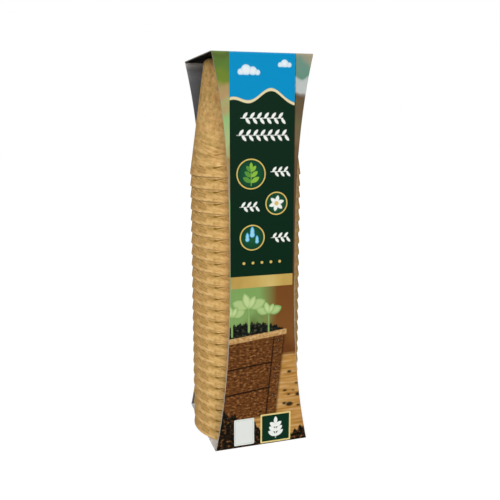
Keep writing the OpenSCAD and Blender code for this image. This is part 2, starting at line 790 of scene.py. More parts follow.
@dataclass(frozen=True)
class SlantingWaves:
    """Relief of fibres that lie slantwise round a pot: many cosine waves added up. Each has a
    whole number of waves round the pot, so that the relief closes on itself."""

    seed: int
    count: int = 110
    shortest: float = 1.5 * MM
    longest: float = 5.5 * MM
    slant: float = math.radians(19)
    spread: float = math.radians(17)
    radius: float = 28 * MM

    def height(self, azimuth: np.ndarray, level: np.ndarray) -> np.ndarray:
        """Give the relief at each row's level and each column's azimuth.

        Args:
            azimuth: angles round the axis, one for each column.
            level: heights above the rim, one for each row.

        Returns:
            Values from -1 to 1, as rows by columns.
        """
        random = np.random.default_rng(self.seed)
        length = np.exp(random.uniform(*np.log([self.shortest, self.longest]), self.count))
        tilt = self.slant + random.normal(0, self.spread, self.count)
        phase = random.uniform(0, 2 * math.pi, self.count)
        pace = 2 * math.pi / length
        round_pot = np.rint(pace * np.sin(tilt) * self.radius)
        upward = pace * np.cos(tilt)
        weight = np.sqrt(length / self.longest)
        turns = np.exp(1j * np.outer(round_pot, azimuth))
        lifts = weight * np.exp(1j * (np.outer(level, upward) + phase))
        total = np.real(lifts @ turns)
        return np.clip(total / (1.6 * math.sqrt(float(np.sum(weight**2)))), -1, 1)


@dataclass(frozen=True)
class PotMould:
    """Sizes that every pot has from its mould, and how its wall lies and looks."""

    rim_radius: float = 30 * MM
    base_radius: float = 21.5 * MM
    height: float = 59.6 * MM
    wall: float = 0.79 * MM
    base: float = 1.2 * MM
    shoulder_radius: float = 2.4 * MM
    inside_radius: float = 1.6 * MM
    drain_radius: float = 4.0 * MM
    edge_radius: float = 0.2 * MM
    # How much of the mouth's inner edge is cut away, upwards and across
    lip_height: float = 0.25 * MM
    lip_width: float = 0.14 * MM
    # Level gap between a pot's inner wall and the pot nested in it
    clearance: float = 0.1 * MM
    # Where the stack's axis and its lowest rim stand, which leaves room for the card
    axis_y: float = -0.225 * MM
    seat: float = 0.75 * MM
    # Height of the slow and of the fine waves of the rim's raw edge, and how far up they tell
    slow_lift: float = 0.03 * MM
    fine_lift: float = 0.02 * MM
    lift_reach: float = 5 * MM
    # Where the fibres lie rough round the pot, as middles and half widths in degrees, and how
    # far that fades to either side of its edges
    rough: tuple[tuple[float, float], ...] = ((206.0, 24.0), (85.0, 26.0), (345.0, 18.0))
    rough_edge: float = 8.0
    # Heights between which the wall passes from rough to well pressed
    pressed: tuple[float, float] = (12 * MM, 27 * MM)
    # Depth of the relief, and the share of it that is a pot's own and not the mould's
    relief_depth: float = 0.14 * MM
    own_share: float = 0.15
    # Heights between which the pot on top comes to hide a pot's relief, the share of it that
    # is left there, and the share inside the pot
    hidden: tuple[float, float] = (6.9 * MM, 8.4 * MM)
    hidden_share: float = 0.2
    inside_share: float = 0.25
    # The band of painted shade just below each rim line, where the next rim shades the wall: its
    # middle above the rim, how far that wanders in two waves, half its height, where it fades out,
    # and how much deeper it is pressed
    band_middle: float = 4.55 * MM
    band_swing: float = 0.42 * MM
    band_drift: float = 0.2 * MM
    band_reach: float = 1.45 * MM
    band_fade: tuple[float, float] = (6.8 * MM, 17.8 * MM)
    band_press: float = 0.04 * MM
    # How far the band's painted shade and the painted shade towards the base go down the scale of
    # colours, and how far the painted highlight above the rim and the painted light just under the
    # next pot's rim go up it
    band_painted_shade: float = 0.11
    base_painted_shade: float = 0.05
    base_painted_shade_heights: tuple[float, float] = (17 * MM, 55 * MM)
    painted_highlight_lift: float = 0.03
    painted_highlight_middle: float = 1.3 * MM
    painted_highlight_reach: float = 1.5 * MM
    painted_rim_light_lift: float = 0.16
    painted_rim_light_reach: float = 0.9 * MM

    @property
    def taper(self) -> float:
        """How far the wall draws in for each unit of height."""
        return (self.rim_radius - self.base_radius) / self.height

    @property
    def pitch(self) -> float:
        """Height from rim to rim, at which nested walls are the clearance apart."""
        return (self.wall + self.clearance) / self.taper

    def corner(
        self, foot: float, top: float, radius: float, steps: int
    ) -> tuple[np.ndarray, np.ndarray]:
        """Round the corner between a wall and a level face.

        Args:
            foot: the wall's radius at the rim.
            top: height of the level face.
            radius: radius of the corner.
            steps: number of points.

        Returns:
            Radii and heights from the wall to the level face, along an arc that meets both.
        """
        level = top - radius
        centre = foot - self.taper * level - radius * math.hypot(1, self.taper)
        angle = np.linspace(math.atan(self.taper), math.pi / 2, steps)
        return centre + radius * np.cos(angle), level + radius * np.sin(angle)

    def lift(self, azimuth: np.ndarray) -> np.ndarray:
        """Give how far the rim's raw edge stands above its lowest point: two slow waves that
        cross, and a fine one that runs unevenly.

        Args:
            azimuth: angles round the axis.

        Returns:
            Heights in metres.
        """
        slow = self.slow_lift * (1 + np.sin(7 * azimuth + 1.1) * np.sin(3 * azimuth + 0.4))
        return slow + self.fine_lift * (1 + np.sin(41 * azimuth + 3.0 * np.sin(5 * azimuth)))

    def roughness(self, azimuth: np.ndarray) -> np.ndarray:
        """Give how rough the fibres lie round the pot.

        Args:
            azimuth: angles round the axis.

        Returns:
            Shares from 0 to 1.
        """
        degrees = np.degrees(azimuth)
        total = np.zeros_like(azimuth)
        for middle, half in self.rough:
            away = np.abs((degrees - middle + 180) % 360 - 180)
            share = smooth(away, half + self.rough_edge, half - self.rough_edge)
            total = np.maximum(total, share)
        return total

    def band(self, azimuth: np.ndarray, level: np.ndarray) -> np.ndarray:
        """Give the band that lies just below each rim line and wanders up and down: it is pressed in
        a little, and it carries painted shade where the next rim shades the wall.

        It is a smooth hump in height. Its middle is a sum of two sines of the angle, about
        1.7 mm below the next rim line, and it comes back fainter for each pitch up the wall.

        Args:
            azimuth: angles, one for each column.
            level: heights above the rim, one for each row.

        Returns:
            Shares from 0 to 1, as rows by columns.
        """
        step = self.pitch
        middle = self.band_middle + self.band_swing * np.sin(11 * (azimuth - math.radians(212)))
        middle = middle + self.band_drift * np.sin(4 * azimuth + 0.7)
        near = (level[:, None] - middle[None, :] + step / 2) % step - step / 2
        hump = smooth(1.25 - np.abs(near) / self.band_reach)
        patchy = 0.6 + 0.4 * np.sin(5 * azimuth + math.radians(110))[None, :]
        return hump * patchy * (1 - smooth(level[:, None], *self.band_fade))


@dataclass(frozen=True)
class FibrePot:
    """One pot, mouth down, in its place in the stack: 1 is the lowest."""

    mould: PotMould
    place: int
    is_top: bool
    # Rows of the outer wall stand close in the strip that shows between two rims: the first
    # height, the height before which they end, and their step. Above it they start again.
    close_rows: tuple[float, float, float] = (0.75 * MM, 7.4 * MM, 0.42 * MM)
    wide_rows_start: float = 7.8 * MM

    @property
    def name(self) -> str:
        """Name of the CAD node that this pot stands for."""
        return f"pot_{self.place:02d}"

    @property
    def own(self) -> float:
        """A number of this pot's own, which golden steps keep far from its neighbours'."""
        return 0.45 * (0.618 * self.place % 1)

    @property
    def columns(self) -> int:
        """Points round the pot: more on the top one, whose whole wall shows."""
        return 512 if self.is_top else 320

    def section(self) -> tuple[np.ndarray, np.ndarray, np.ndarray, np.ndarray]:
        """Work out half of the pot's section as a closed ring of points.

        It runs from the rim's outer edge up the outer wall, round the shoulder, across the
        base, down through the drainage hole, back under the base and down the inner wall.

        Returns:
            Radius, height, share of the fibre relief and share of the rim's lift.
        """
        m = self.mould
        edge = m.edge_radius
        turn = np.linspace(-math.pi / 2, 0, 5)
        rim_r = m.rim_radius - edge * (1 + m.taper) + edge * np.cos(turn)
        rim_z = edge + edge * np.sin(turn)
        shoulder_r, shoulder_z = m.corner(m.rim_radius, m.height, m.shoulder_radius, 8)
        close = np.arange(*self.close_rows)
        wide = np.linspace(self.wide_rows_start, shoulder_z[0], 98 if self.is_top else 9)[:-1]
        wall_z = np.concatenate([close, wide])
        wall_r = m.rim_radius - m.taper * wall_z
        flat = 16 if self.is_top else 4
        base_r = np.linspace(shoulder_r[-1], m.drain_radius, flat)[1:]
        bore_z = np.array([m.height - m.base * 0.5, m.height - m.base])
        under_r, under_z = m.corner(
            m.rim_radius - m.wall, m.height - m.base, m.inside_radius, 6
        )
        ceiling_r = np.linspace(m.drain_radius, under_r[-1], 4)[1:-1]
        inner_z = np.linspace(under_z[0], m.lip_height, 11)[1:]
        inner_r = m.rim_radius - m.wall - m.taper * inner_z
        lip_r = np.array([m.rim_radius - m.wall + m.lip_width])
        radius = np.concatenate(
            [rim_r, wall_r, shoulder_r, base_r, np.full(2, m.drain_radius), ceiling_r]
            + [under_r[::-1], inner_r, lip_r]
        )
        height = np.concatenate(
            [rim_z, wall_z, shoulder_z, np.full(flat - 1, m.height), bore_z]
            + [np.full(2, m.height - m.base), under_z[::-1], inner_z, np.zeros(1)]
        )
        outer = len(rim_r) + len(wall_r) + len(shoulder_r) + len(base_r)
        relief = np.full(len(radius), m.inside_share)
        relief[:outer] = 1.0
        if not self.is_top:
            relief[:outer] = between(1.0, m.hidden_share, smooth(height[:outer], *m.hidden))
        rise = np.clip(1 - height / m.lift_reach, 0, 1) ** 1.5
        return radius, height, relief, rise

    def shade(self, azimuth: np.ndarray, height: np.ndarray) -> np.ndarray:
        """Give the painted shade and light on the skin. There is painted shade in the band below a
        rim line, where the next rim shades the wall, and towards the base, where the wrap shades the
        top pot. Just above the rim there is a painted highlight, and there is painted light just
        under the next pot's rim, where real shade falls.

        Args:
            azimuth: angles, one for each column.
            height: heights above the rim, one for each row.

        Returns:
            How far the colour goes down its scale, as rows by columns.
        """
        m = self.mould
        rows = m.base_painted_shade * smooth(height, *m.base_painted_shade_heights)
        rows = rows - m.painted_highlight_lift * smooth(1 - np.abs(height - m.painted_highlight_middle) / m.painted_highlight_reach)
        if not self.is_top:
            painted_rim_light = smooth(1 - np.abs(height - m.pitch) / m.painted_rim_light_reach)
            rows = rows - m.painted_rim_light_lift * painted_rim_light
        return m.band_painted_shade * m.band(azimuth, height) + rows[:, None]

    def surface(self) -> GridSurface:
        """Sweep the section round the axis and press the relief into it.

        A point is moved inwards from the smooth surface by the relief's depth, which is
        never below zero, so that no pot grows past its mould or into its neighbour.

        Returns:
            The surface, with the attributes mould, grain, cloud, shade and own.
        """
        m = self.mould
        radius, height, relief, rise = self.section()
        azimuth = np.linspace(0, 2 * math.pi, self.columns, endpoint=False)
        along_r = np.roll(radius, -1) - np.roll(radius, 1)
        along_z = np.roll(height, -1) - np.roll(height, 1)
        size = np.hypot(along_r, along_z)
        normal_r, normal_z = along_z / size, -along_r / size
        # The mould gives all pots the same waves, and each dries with a few of its own
        common = SlantingWaves(seed=11).height(azimuth, height)
        own = SlantingWaves(seed=100 + self.place, longest=9 * MM).height(azimuth, height)
        rough = m.roughness(azimuth)[None, :]
        low = 1 - smooth(height, *m.pressed)[:, None]
        depth = (1 + between(common, own, m.own_share)) / 2
        depth = depth * between(0.6, 1.0, rough) * between(0.15, 1.0, low) * m.relief_depth
        depth = relief[:, None] * (depth + m.band_press * m.band(azimuth, height))
        flat_r = radius[:, None] - normal_r[:, None] * depth
        flat_z = height[:, None] - normal_z[:, None] * depth
        flat_z = flat_z + rise[:, None] * m.lift(azimuth)[None, :]
        lowest = m.seat + (self.place - 1) * m.pitch
        x = flat_r * np.cos(azimuth)
        y = flat_r * np.sin(azimuth)
        points = np.stack([x, y + m.axis_y, flat_z + lowest], axis=-1)
        attributes = {
            "mould": np.stack([x, y, flat_z], axis=-1),
            "grain": between(0.55, 0.8, rough) * between(0.25, 1.2, low),
            "cloud": np.broadcast_to(between(0.8, 0.33, low), depth.shape),
            # Painted shade and light, which the material takes off its scale of colours
            "shade": self.shade(azimuth, height),
            "own": np.full_like(depth, self.own),
        }
        return GridSurface(points, closed_rows=True, attributes=attributes)

    def build(self, fibre: bpy.types.Material) -> bpy.types.Object:
        """Make the pot, which rides on its own body.

        Args:
            fibre: the pots' material.

        Returns:
            The pot.
        """
        piece = make_piece(f"fibre_{self.name}", self.surface(), [fibre])
        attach(piece, self.name)
        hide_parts(self.name)
        return piece


# The wrap's print


@dataclass(frozen=True)
class Disc:
    """A round spot, or one drawn out level where its squash is below 1. Like all shapes here
    it is placed in mm, across the sheet and along it."""

    x: float
    s: float
    r: float
    squash: float = 1.0

    def distance(self, x: np.ndarray, s: np.ndarray) -> np.ndarray:
        """Distance in mm from the spot's edge, below zero inside."""
        return np.hypot((x - self.x) * self.squash, s - self.s) - self.r


@dataclass(frozen=True)
class Leaf:
    """A pointed leaf, where two equal circles overlap. It starts at its stalk and leans to
    the right of upright by its lean in degrees."""

    x: float
    s: float
    lean: float
    length: float
    width: float

    def distance(self, x: np.ndarray, s: np.ndarray) -> np.ndarray:
        """Give the distance from the leaf's outline, as that from the farther circle.

        Args:
            x: places across the sheet, in mm.
            s: places along the sheet, in mm.

        Returns:
            Distances in mm, below zero inside.
        """
        angle = math.radians(self.lean)
        away_x, away_s = x - self.x, s - self.s
        along = away_x * math.sin(angle) + away_s * math.cos(angle) - self.length / 2
        across = away_x * math.cos(angle) - away_s * math.sin(angle)
        half, slim = self.length / 2, self.width / 2
        round_radius = (half * half + slim * slim) / (2 * slim)
        return np.hypot(along, np.abs(across) + round_radius - slim) - round_radius


@dataclass(frozen=True)
class Stroke:
    """A straight line with round ends."""

    start: tuple[float, float]
    end: tuple[float, float]
    width: float

    def distance(self, x: np.ndarray, s: np.ndarray) -> np.ndarray:
        """Give the distance from the line's outline, through the nearest place on it.

        Args:
            x: places across the sheet, in mm.
            s: places along the sheet, in mm.

        Returns:
            Distances in mm, below zero inside.
        """
        run_x, run_s = self.end[0] - self.start[0], self.end[1] - self.start[1]
        away_x, away_s = x - self.start[0], s - self.start[1]
        share = np.clip((away_x * run_x + away_s * run_s) / (run_x**2 + run_s**2), 0, 1)
        return np.hypot(away_x - share * run_x, away_s - share * run_s) - self.width / 2


@dataclass(frozen=True)
class Plate:
    """A rectangle with round corners, given by its lower left and upper right corners."""

    low: tuple[float, float]
    high: tuple[float, float]
    r: float

    def distance(self, x: np.ndarray, s: np.ndarray) -> np.ndarray:
        """Give the distance from the rectangle's outline.

        Args:
            x: places across the sheet, in mm.
            s: places along the sheet, in mm.

        Returns:
            Distances in mm, below zero inside.
        """
        (left, foot), (right, top) = self.low, self.high
        away_x = np.abs(x - (left + right) / 2) - (right - left) / 2 + self.r
        away_s = np.abs(s - (foot + top) / 2) - (top - foot) / 2 + self.r
        outside = np.hypot(np.maximum(away_x, 0), np.maximum(away_s, 0))
        return outside + np.minimum(np.maximum(away_x, away_s), 0) - self.r


Shape = Disc | Leaf | Stroke | Plate


def nearest(shapes: tuple[Shape, ...], x: np.ndarray, s: np.ndarray) -> np.ndarray:
    """Distance in mm from the nearest shape's outline, below zero inside any of them."""
    return np.min([shape.distance(x, s) for shape in shapes], axis=0)


@dataclass(frozen=True)
class Sprig:
    """Three pairs of leaves up a stem, each pair a step higher, shorter and maybe steeper."""

    x: float
    s: float
    step: float
    lean: float
    length: float
    width: float
    steeper: float = 0.0
    slimmer: float = 0.0
    drift: float = 0.0
    shorter: float = 0.6

    def leaves(self, side: int) -> tuple[Leaf, ...]:
        """Give the leaves on one side of the stem.

        Args:
            side: -1 for the left, 1 for the right.

        Returns:
            Three leaves, from the lowest to the highest.
        """
        return tuple(
            Leaf(
                self.x + self.drift * i,
                self.s + self.step * i,
                side * (self.lean - self.steeper * i),
                self.length - self.shorter * i,
                self.width - self.slimmer * i,
            )
            for i in range(3)
        )


@dataclass(frozen=True)
class PrintDesign:
    """A plain garden design of this object's own: a banner of sky over a dark green hill with
    twigs and three framed pictures, a gold rule, and below it seedlings in a planked box on
    a bench. Places are in mm: x across from the panel's middle, and s along the sheet from
    the front panel's foot. A field is the distance from an outline, below zero inside."""

    banner_left: float = -17.1
    banner_right: float = 16.35
    banner_foot: float = 94.6
    rule_foot: float = 88.4
    # How far the picture runs on past the front panel's lower and upper folds
    foot_bleed: float = 3.0
    top_bleed: float = 4.0
    framed_leaves: Disc = Disc(-6.2, 146.5, 7.3)
    framed_flower: Disc = Disc(7.2, 131.5, 5.6)
    framed_drops: Disc = Disc(-5.6, 114.5, 6.3)
    cloud_discs: tuple[Disc, ...] = (
        Disc(-11.5, 195.3, 1.5),
        Disc(-8.8, 196.3, 2.5),
        Disc(-5.4, 195.9, 2.0),
        Disc(-3.0, 195.2, 1.3),
        Disc(8.6, 199.0, 1.2),
        Disc(10.8, 199.6, 1.9),
        Disc(13.2, 199.0, 1.2),
    )
    # Height of each cloud's level foot, and the place across that parts the two clouds
    cloud_feet: tuple[float, float] = (194.0, 198.0)
    cloud_gap: float = 2.0
    # The hill's level, and the rises on it: middle, half width and height
    hill_level: float = 180.5
    hill_rises: tuple[tuple[float, float, float], ...] = ((4.0, 8.0, 7.5), (-15.0, 6.0, 3.2))
    # Drops of water: place and size
    drops: tuple[tuple[float, float, float], ...] = (
        (-8.2, 113.6, 1.0),
        (-5.6, 115.9, 1.2),
        (-3.1, 112.4, 0.9),
    )
    # Pale twigs that lie level: middle, height, half length, number of leaf pairs, size
    twig_rows: tuple[tuple[float, float, float, int, float], ...] = (
        (-0.6, 173.6, 11.0, 6, 1.0),
        (-0.6, 165.4, 13.0, 7, 1.0),
        (8.6, 147.4, 4.6, 3, 0.9),
        (-7.6, 130.2, 4.6, 3, 0.9),
        (9.0, 113.9, 4.6, 3, 0.9),
    )
    box_top: float = 60.0
    box_foot: float = 17.0
    box_end: float = 11.6
    # How much the box's boards rise to the right, and how much its end leans
    slope: float = 0.1
    post_width: float = 5.2
    board_gaps: tuple[float, ...] = (32.0, 46.0)
    nail_heights: tuple[float, ...] = (28.3, 38.8, 43.3, 53.3, 58.8)
    # Half the height of the rail on the box, and where it ends at the right
    rail_half: float = 1.5
    rail_end: float = 13.4
    # The mound of soil: level, rise, middle, half width, and where it ends at the right
    soil_level: float = 63.0
    soil_rise: float = 6.5
    soil_middle: float = -8.0
    soil_reach: float = 20.0
    soil_end: float = 12.6
    # Seedlings: place where the stem leaves the soil, and size
    seedling_feet: tuple[tuple[float, float, float], ...] = (
        (-16.5, 65.0, 1.05),
        (-7.4, 67.0, 1.3),
        (3.4, 66.0, 1.0),
    )
    bench_edge: float = 49.0
    bench_slope: float = 0.03
    bench_knots: tuple[Disc, ...] = (
        Disc(15.2, 40.5, 0.8, 0.6),
        Disc(12.8, 30.0, 0.7, 0.6),
        Disc(19.3, 33.5, 0.6, 0.6),
        Disc(15.0, 27.4, 0.6, 0.6),
        Disc(17.6, 29.6, 0.45, 0.6),
        Disc(20.4, 27.0, 1.0, 0.6),
        Disc(15.5, 21.8, 1.3, 0.6),
        Disc(20.6, 20.6, 0.6, 0.6),
        Disc(12.6, 22.6, 0.8, 0.6),
    )
    # The back's rows of sprigs: their step, and how far above its row's foot a stem starts
    back_step: float = 17.0
    back_foot: float = 3.5

    def sides(self, x: np.ndarray) -> np.ndarray:
        """Distance outside the banner's two long sides."""
        return np.maximum(self.banner_left - x, x - self.banner_right)

    def banner(self, x: np.ndarray, s: np.ndarray) -> np.ndarray:
        """Distance from the banner, which runs on over the top panel."""
        return np.maximum(self.sides(x), self.banner_foot - s)

    def hill(self, x: np.ndarray, s: np.ndarray) -> np.ndarray:
        """Give the distance from the sky over the hill, whose outline is a level line with a
        bell curve for each rise.

        Args:
            x: places across the sheet, in mm.
            s: places along the sheet, in mm.

        Returns:
            Distances in mm, below zero in the sky.
        """
        line = np.full_like(x, self.hill_level)
        for middle, reach, height in self.hill_rises:
            line = line + height * np.exp(-(((x - middle) / reach) ** 2))
        # Beside a slope the outline is nearer than the place on it straight above or below
        return (line - s) * 0.85

    def clouds(self, x: np.ndarray, s: np.ndarray) -> np.ndarray:
        """Distance from two clouds, each a row of overlapping discs on a level foot."""
        foot = np.where(x < self.cloud_gap, *self.cloud_feet) - s
        return np.maximum(nearest(self.cloud_discs, x, s), foot)

    def sprig(self, side: int) -> tuple[Shape, ...]:
        """Draw one side of the framed sprig.

        Args:
            side: -1 for the left, 1 for the right, which has the leaf at the tip too.

        Returns:
            The leaves and the stem.
        """
        at, middle = self.framed_leaves.x, self.framed_leaves.s
        leaves = Sprig(at, middle - 4.2, 2.7, 58, 5.0, 2.3, steeper=8, slimmer=0.2).leaves(side)
        tip = (Leaf(at, middle + 2.2, 0, 3.6, 1.7),) if side > 0 else ()
        return (*leaves, *tip, Stroke((at, middle - 5.8), (at, middle + 3.0), 0.4))

    def water(self) -> tuple[Shape, ...]:
        """Draw three drops, each a disc that a narrow leaf points upwards.

        Returns:
            The discs and leaves.
        """
        shapes: list[Shape] = []
        for at, level, size in self.drops:
            shapes.append(Disc(at, level, 1.15 * size))
            shapes.append(Leaf(at, level - 0.9 * size, 0, 4.6 * size, 1.9 * size))
        return tuple(shapes)

    def twigs(self) -> tuple[Shape, ...]:
        """Draw the twigs: two long ones at the head of the banner, and a short one beside
        each picture.

        Returns:
            The stems and leaves.
        """
        shapes: list[Shape] = []
        for middle, level, reach, count, size in self.twig_rows:
            shapes.append(Stroke((middle - reach, level), (middle + reach, level), 0.4 * size))
            for i in range(count):
                at = middle - reach + (i + 0.5) * 2 * reach / count
                shapes.append(Leaf(at - 0.7 * size, level, 40, 3.7 * size, 1.5 * size))
                shapes.append(Leaf(at + 0.7 * size, level, 140, 3.7 * size, 1.5 * size))
        return tuple(shapes)

    def seedlings(self, young: bool) -> tuple[Shape, ...]:
        """Draw three seedlings.

        Args:
            young: whether to draw the young leaves, and not the stems and seed leaves.

        Returns:
            The stems and leaves.
        """
        shapes: list[Shape] = []
        for at, foot, size in self.seedling_feet:
            crown = foot + 8.2 * size
            if young:
                shapes.append(Leaf(at, crown - 0.5, -16, 7.0 * size, 3.4 * size))
                shapes.append(Leaf(at, crown - 0.5, 26, 6.0 * size, 3.0 * size))
            else:
                shapes.append(Stroke((at, foot - 2), (at, crown), 0.9 * size))
                shapes += [Leaf(at, crown, lean, 7.6 * size, 4.8 * size) for lean in (-68, 68)]
        return tuple(shapes)

    def badge_sprig(self) -> tuple[Shape, ...]:
        """Draw the small sprig on the badge.

        Returns:
            The stem and leaves.
        """
        sprig = Sprig(7.7, 4.2, 2.8, 52, 5.4, 2.3)
        stem, tip = Stroke((7.7, 3.2), (7.7, 11.6), 0.5), Leaf(7.7, 11.2, 0, 4.4, 2.1)
        return (stem, *sprig.leaves(-1), *sprig.leaves(1), tip)

    def marks(self) -> dict[str, tuple[Shape, ...]]:
        """List the inks that are drawn as plain shapes.

        Returns:
            The shapes of each ink.
        """
        flower = self.framed_flower
        return {
            "knots": self.bench_knots,
            "seed_leaves": self.seedlings(young=False),
            "young_leaves": self.seedlings(young=True),
            "frames": (self.framed_leaves, flower, self.framed_drops),
            "sprig_left": self.sprig(-1),
            "sprig_right": self.sprig(1),
            "petals": tuple(Leaf(flower.x, flower.s, 60 * i + 12, 4.1, 2.0) for i in range(6)),
            "eye": (Disc(flower.x, flower.s, 1.1),),
            "water": self.water(),
            "twigs": self.twigs(),
            "dots": tuple(Disc(4.8 * i - 10.0, 101.4, 0.75) for i in range(5)),
            "label": (Plate((-15.6, 1.6), (-4.5, 16.5), 0.5),),
            "badge": (Plate((-0.9, 0.9), (16.3, 17.6), 0.3),),
            "badge_sprig": self.badge_sprig(),
        }

    def along_boards(self, x: np.ndarray, s: np.ndarray) -> np.ndarray:
        """Height counted along the box's boards, which rise a little to the right."""
        return s - self.slope * (x + 5)

    def past_end(self, x: np.ndarray, s: np.ndarray) -> np.ndarray:
        """Distance to the right of the box's end, which leans in towards its foot."""
        return x - self.box_end + self.slope * (self.box_top - s)

    def planter(self, x: np.ndarray, s: np.ndarray) -> np.ndarray:
        """Distance from the front of the planked box."""
        above = self.along_boards(x, s) - self.box_top
        return np.maximum(np.maximum(self.past_end(x, s), above), self.box_foot - s)

    def gaps(self, x: np.ndarray, s: np.ndarray) -> np.ndarray:
        """Give the distance from the gaps between the box's boards, and its post's edge.

        Args:
            x: places across the sheet, in mm.
            s: places along the sheet, in mm.

        Returns:
            Distances in mm, below zero inside.
        """
        level, past_boards = self.along_boards(x, s), self.past_end(x, s) + self.post_width
        lines = np.min([np.abs(level - at) - 0.3 for at in self.board_gaps], axis=0)
        dark = np.minimum(np.maximum(lines, past_boards), np.abs(past_boards) - 0.22)
        return np.maximum(dark, self.planter(x, s) + 0.1)

    def nails(self, x: np.ndarray, s: np.ndarray) -> np.ndarray:
        """Distance from the nails, one above the other along the post's middle."""
        away = self.past_end(x, s) + self.post_width / 2
        return np.min([np.hypot(away, s - at) - 0.42 for at in self.nail_heights], axis=0)

    def rail(self, x: np.ndarray, s: np.ndarray) -> np.ndarray:
        """Distance from the pale rail along the box's top."""
        above = self.along_boards(x, s) - self.box_top
        return np.maximum(np.abs(above - self.rail_half) - self.rail_half, x - self.rail_end)

    def soil(self, x: np.ndarray, s: np.ndarray) -> np.ndarray:
        """Give the distance from the soil in the box: a low mound, which is half an ellipse,
        with an edge made crumbly by two sines.

        Args:
            x: places across the sheet, in mm.
            s: places along the sheet, in mm.

        Returns:
            Distances in mm, below zero inside.
        """
        away = (x - self.soil_middle) / self.soil_reach
        line = self.soil_level + self.soil_rise * np.sqrt(np.clip(1 - away**2, 0, 1))
        line = line + 0.5 * np.sin(x * 1.9) + 0.4 * np.sin(x * 4.1 + 0.6)
        # The rail is printed over the soil's lower edge
        under_rail = self.box_top + 2 * self.rail_half - 0.4 - self.along_boards(x, s)
        return np.maximum(np.maximum(s - line, under_rail), x - self.soil_end) * 0.9

    def bench(self, x: np.ndarray, s: np.ndarray) -> np.ndarray:
        """Distance from the bench top, whose far edge lies nearly level."""
        return s - self.bench_edge - self.bench_slope * x

    def spill(self, x: np.ndarray, s: np.ndarray) -> np.ndarray:
        """Give the distance from the dark soil spilt along the foot: a heap that slopes down
        from the left and a small one at the right, both with edges made crumbly by sines.

        Args:
            x: places across the sheet, in mm.
            s: places along the sheet, in mm.

        Returns:
            Distances in mm, below zero inside.
        """
        heap = 21 - 0.55 * (x + 20) + 1.4 * np.sin(1.1 * x) + 0.8 * np.sin(2.9 * x + 1)
        corner = 8.5 - 0.6 * np.abs(x - 23) + np.sin(2.1 * x)
        return (s - np.maximum(np.maximum(heap, corner), 2.2)) * 0.8

    def back_sprigs(self, x: np.ndarray, s: np.ndarray) -> np.ndarray:
        """Give the distance from the back's pattern: one sprig, repeated in staggered rows
        that lean by turns to either side.

        Args:
            x: places across the sheet, in mm.
            s: heights above the back panel's foot, in mm.

        Returns:
            Distances in mm, below zero inside.
        """
        step = self.back_step
        row = np.floor(s / step)
        odd = row % 2
        local_x = (x + odd * step / 2 + step / 2) % step - step / 2
        local_s = s - row * step - self.back_foot
        sprig = Sprig(0, 1.2, 2.5, 50, 4.6, 2.0, drift=0.2)
        shapes = (Stroke((0, 0), (0.8, 8.4), 0.5), *sprig.leaves(-1), *sprig.leaves(1))
        return nearest(shapes, local_x * np.where(odd > 0, 1.0, -1.0), local_s)

    def fields(
        self, x: np.ndarray, s: np.ndarray, foot_of_back: float, height: float
    ) -> dict[str, np.ndarray]:
        """Work out every ink's field over the whole sheet.

        Args:
            x: places across, in mm.
            s: places along the sheet from the front panel's foot, in mm.
            foot_of_back: where the back panel's foot lies along the sheet.
            height: the wrap's height, in mm.

        Returns:
            One field for each ink.
        """
        outside = 40.0
        from_back = foot_of_back - s
        on_back = from_back < height
        below = s < -self.foot_bleed
        on_front = (s > -self.foot_bleed) & (s < height + self.top_bleed)
        sides, hill = self.sides(x), self.hill(x, s)
        middle = (self.banner_foot + self.rule_foot) / 2
        half = (self.banner_foot - self.rule_foot) / 2
        fields = {name: nearest(shapes, x, s) for name, shapes in self.marks().items()}
        near_edge = np.abs(x - self.banner_right - 0.1)
        fields |= {
            "bench": self.bench(x, s),
            "soil": self.soil(x, s),
            "planter": self.planter(x, s),
            "gaps": self.gaps(x, s),
            "nails": self.nails(x, s),
            "rail": self.rail(x, s),
            "spill": self.spill(x, s),
            "banner_edge": np.maximum(near_edge, self.banner_foot - s),
            "hill_line": np.maximum(np.abs(hill - 0.6) - 0.65, sides),
            "clouds": self.clouds(x, s),
            "rule": np.maximum(np.abs(s - middle) - half, sides),
        }
        fields = {name: np.where(on_front, values, outside) for name, values in fields.items()}
        # These run on past the front panel, or have a part on the back
        fields["rule"] = np.where(on_back, np.abs(from_back - middle) - half, fields["rule"])
        banner = np.where(below, outside, self.banner(x, s))
        fields["banner"] = np.where(on_back, -outside, banner)
        fields["sky"] = np.where(on_back, outside, np.maximum(hill, sides))
        fields["back_sprigs"] = np.where(on_back, self.back_sprigs(x, from_back), outside)
        return fields

